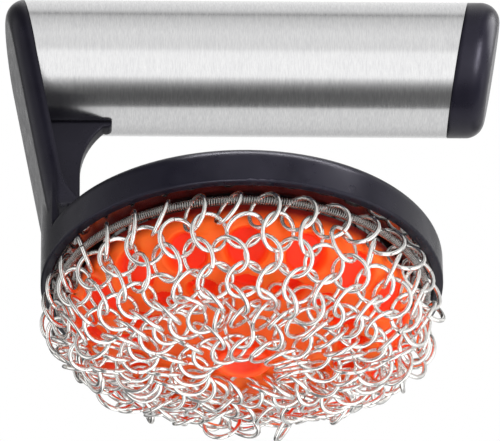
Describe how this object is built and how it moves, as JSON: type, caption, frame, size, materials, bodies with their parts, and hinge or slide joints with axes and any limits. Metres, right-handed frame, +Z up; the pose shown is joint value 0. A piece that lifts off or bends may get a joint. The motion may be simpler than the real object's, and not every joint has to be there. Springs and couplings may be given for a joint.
{
  "type": "pot scrubber",
  "caption": "Palm-grip pot scrubber: a leaning arm carries a short tube handle over a round head, with linked steel rings hung over a soft dimpled pad.",
  "frame": {"origin": "on the floor under the head axis, at the lowest point of the rings", "axes": "+X along the handle from the arm to the free end, +Z up from the scrubbing face to the handle"},
  "size_m": [0.1038, 0.0822, 0.0889],
  "materials": {
    "black_plastic": "fine matte moulded",
    "gloss_black": "polished moulded",
    "brushed_steel": "brushed round the tube",
    "ring_steel": "tumbled bright",
    "spring_steel": "drawn wire",
    "screw_steel": "plain",
    "orange_silicone": "smooth silicone"
  },
  "bodies": {
    "frame": {"head_frame": "black_plastic", "handle_tube": "brushed_steel", "end_cap": "black_plastic", "retainer_plate": "gloss_black", "plate_screws": "screw_steel", "silicone_core": "orange_silicone"},
    "mail": {"garter_spring": "spring_steel", "mail_row_01": "ring_steel", "mail_row_02": "ring_steel", "mail_row_03": "ring_steel", "mail_row_04": "ring_steel", "mail_row_05": "ring_steel", "mail_row_06": "ring_steel", "mail_row_07": "ring_steel", "mail_row_08": "ring_steel"}
  },
  "joints": [
    {"name": "mail_turn", "type": "hinge", "parent": "frame", "child": "mail", "pos_m": [0, 0, 0.0185], "axis": [0, 0, 1], "continuous": true}
  ]
}
